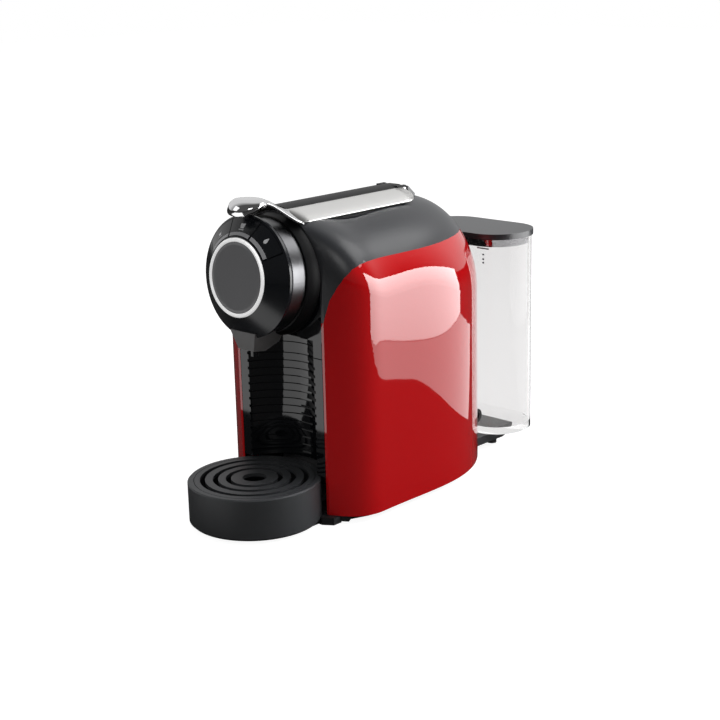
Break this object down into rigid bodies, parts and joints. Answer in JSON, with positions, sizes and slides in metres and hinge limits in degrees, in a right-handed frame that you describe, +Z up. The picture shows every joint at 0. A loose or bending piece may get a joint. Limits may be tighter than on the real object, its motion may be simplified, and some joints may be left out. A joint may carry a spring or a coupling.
{
  "type": "pod coffee machine",
  "caption": "Compact pod coffee machine: rounded glossy red body, dial head with buttons, lift-up lever, pull-out drip tray with ribbed cup niche, clear rear water tank.",
  "frame": {"origin": "middle of the footprint on the table, at the bottom centre of the whole machine's box", "axes": "+Z up, -Y to the front where the dial and drip tray are, +X to the machine's side that is on the right when it is seen from the front"},
  "size_m": [0.1562, 0.37, 0.2629],
  "materials": {
    "red_shell": "high gloss",
    "dark_cover": "satin",
    "gloss_black": "high gloss",
    "button_black": "gloss with pale icon",
    "neck_metal": "satin metallic black",
    "bright_chrome": "polished",
    "satin_silver": "satin",
    "disc_grey": "satin",
    "spout_grey": "satin",
    "tray_grey": "matt",
    "clear_tank": "clear plastic",
    "base_black": "matt",
    "foot_rubber": "matt",
    "plain_steel": "brushed",
    "cast_aluminium": "as cast",
    "board_green": "lacquered",
    "hose_silicone": "matt",
    "inner_plastic": "matt"
  },
  "bodies": {
    "machine": {"right_side_shell": "red_shell", "left_side_shell": "red_shell", "top_cover": "dark_cover", "base_chassis": "base_black", "rubber_feet": "foot_rubber", "case_screws": "plain_steel", "niche_hood": "gloss_black", "front_plate": "gloss_black", "neck_ring": "neck_metal", "dial_drum": "gloss_black", "dial_ring": "bright_chrome", "dial_disc": "disc_grey", "control_board": "board_green", "button_switches": "inner_plastic", "spout": "spout_grey", "spout_nozzle": "gloss_black", "hinge_fairing": "dark_cover", "thermoblock": "cast_aluminium", "injector_plate": "plain_steel", "injector_seal": "foot_rubber", "thermostat": "plain_steel", "capsule_chute": "inner_plastic", "inner_frame": "inner_plastic", "pump": "plain_steel", "pump_cradle": "foot_rubber", "flow_meter": "inner_plastic", "link_hose": "hose_silicone", "inlet_hose": "hose_silicone", "pressure_hose": "hose_silicone", "tank_dock": "dark_cover", "rear_panel": "base_black", "cord_gland": "foot_rubber", "switch_housing": "inner_plastic"},
    "lever": {"lever_arms": "satin_silver", "lever_core": "gloss_black", "lever_pin": "plain_steel", "crank_pin": "plain_steel"},
    "carriage": {"carriage": "inner_plastic", "brew_cup": "cast_aluminium"},
    "left_button": {"button_left": "button_black"},
    "middle_button": {"button_middle": "button_black"},
    "right_button": {"button_right": "button_black"},
    "drawer": {"drip_tray": "tray_grey", "drawer_sled": "inner_plastic", "cup_niche_panel": "gloss_black", "capsule_bin": "inner_plastic"},
    "grille": {"drip_grille": "tray_grey"},
    "tank": {"water_tank": "clear_tank", "tank_valve": "inner_plastic"},
    "lid": {"tank_lid": "dark_cover", "lid_rim_band": "bright_chrome"},
    "rocker": {"power_rocker": "gloss_black"}
  },
  "joints": [
    {"name": "lever_hinge", "type": "hinge", "parent": "machine", "child": "lever", "pos_m": [0, 0.043, 0.2493], "axis": [-1, 0, 0], "range_deg": [0, 75]},
    {"name": "carriage_slide", "type": "slide", "parent": "machine", "child": "carriage", "axis": [0, -1, 0], "range_m": [0, 0.0245]},
    {"name": "left_button_press", "type": "slide", "parent": "machine", "child": "left_button", "axis": [0, 0.9962, -0.0872], "range_m": [0, 0.0015], "stiffness_N_per_m": 400, "springref_m": -0.0005},
    {"name": "middle_button_press", "type": "slide", "parent": "machine", "child": "middle_button", "axis": [0, 0.9962, -0.0872], "range_m": [0, 0.0015], "stiffness_N_per_m": 400, "springref_m": -0.0005},
    {"name": "right_button_press", "type": "slide", "parent": "machine", "child": "right_button", "axis": [0, 0.9962, -0.0872], "range_m": [0, 0.0015], "stiffness_N_per_m": 400, "springref_m": -0.0005},
    {"name": "drawer_slide", "type": "slide", "parent": "machine", "child": "drawer", "axis": [0, -1, 0], "range_m": [0, 0.15]},
    {"name": "grille_lift", "type": "slide", "parent": "drawer", "child": "grille", "axis": [0, 0, 1], "range_m": [0, 0.06]},
    {"name": "tank_lift", "type": "slide", "parent": "machine", "child": "tank", "axis": [0, 0, 1], "range_m": [0, 0.06]},
    {"name": "lid_lift", "type": "slide", "parent": "tank", "child": "lid", "axis": [0, 0, 1], "range_m": [0, 0.04]},
    {"name": "rocker_hinge", "type": "hinge", "parent": "machine", "child": "rocker", "pos_m": [-0.022, 0.1008, 0.06], "axis": [1, 0, 0], "range_deg": [-8, 8]}
  ],
  "couplings": [
    {"joint": "carriage_slide", "follows": "lever_hinge", "m_per_rad": 0.0186}
  ]
}
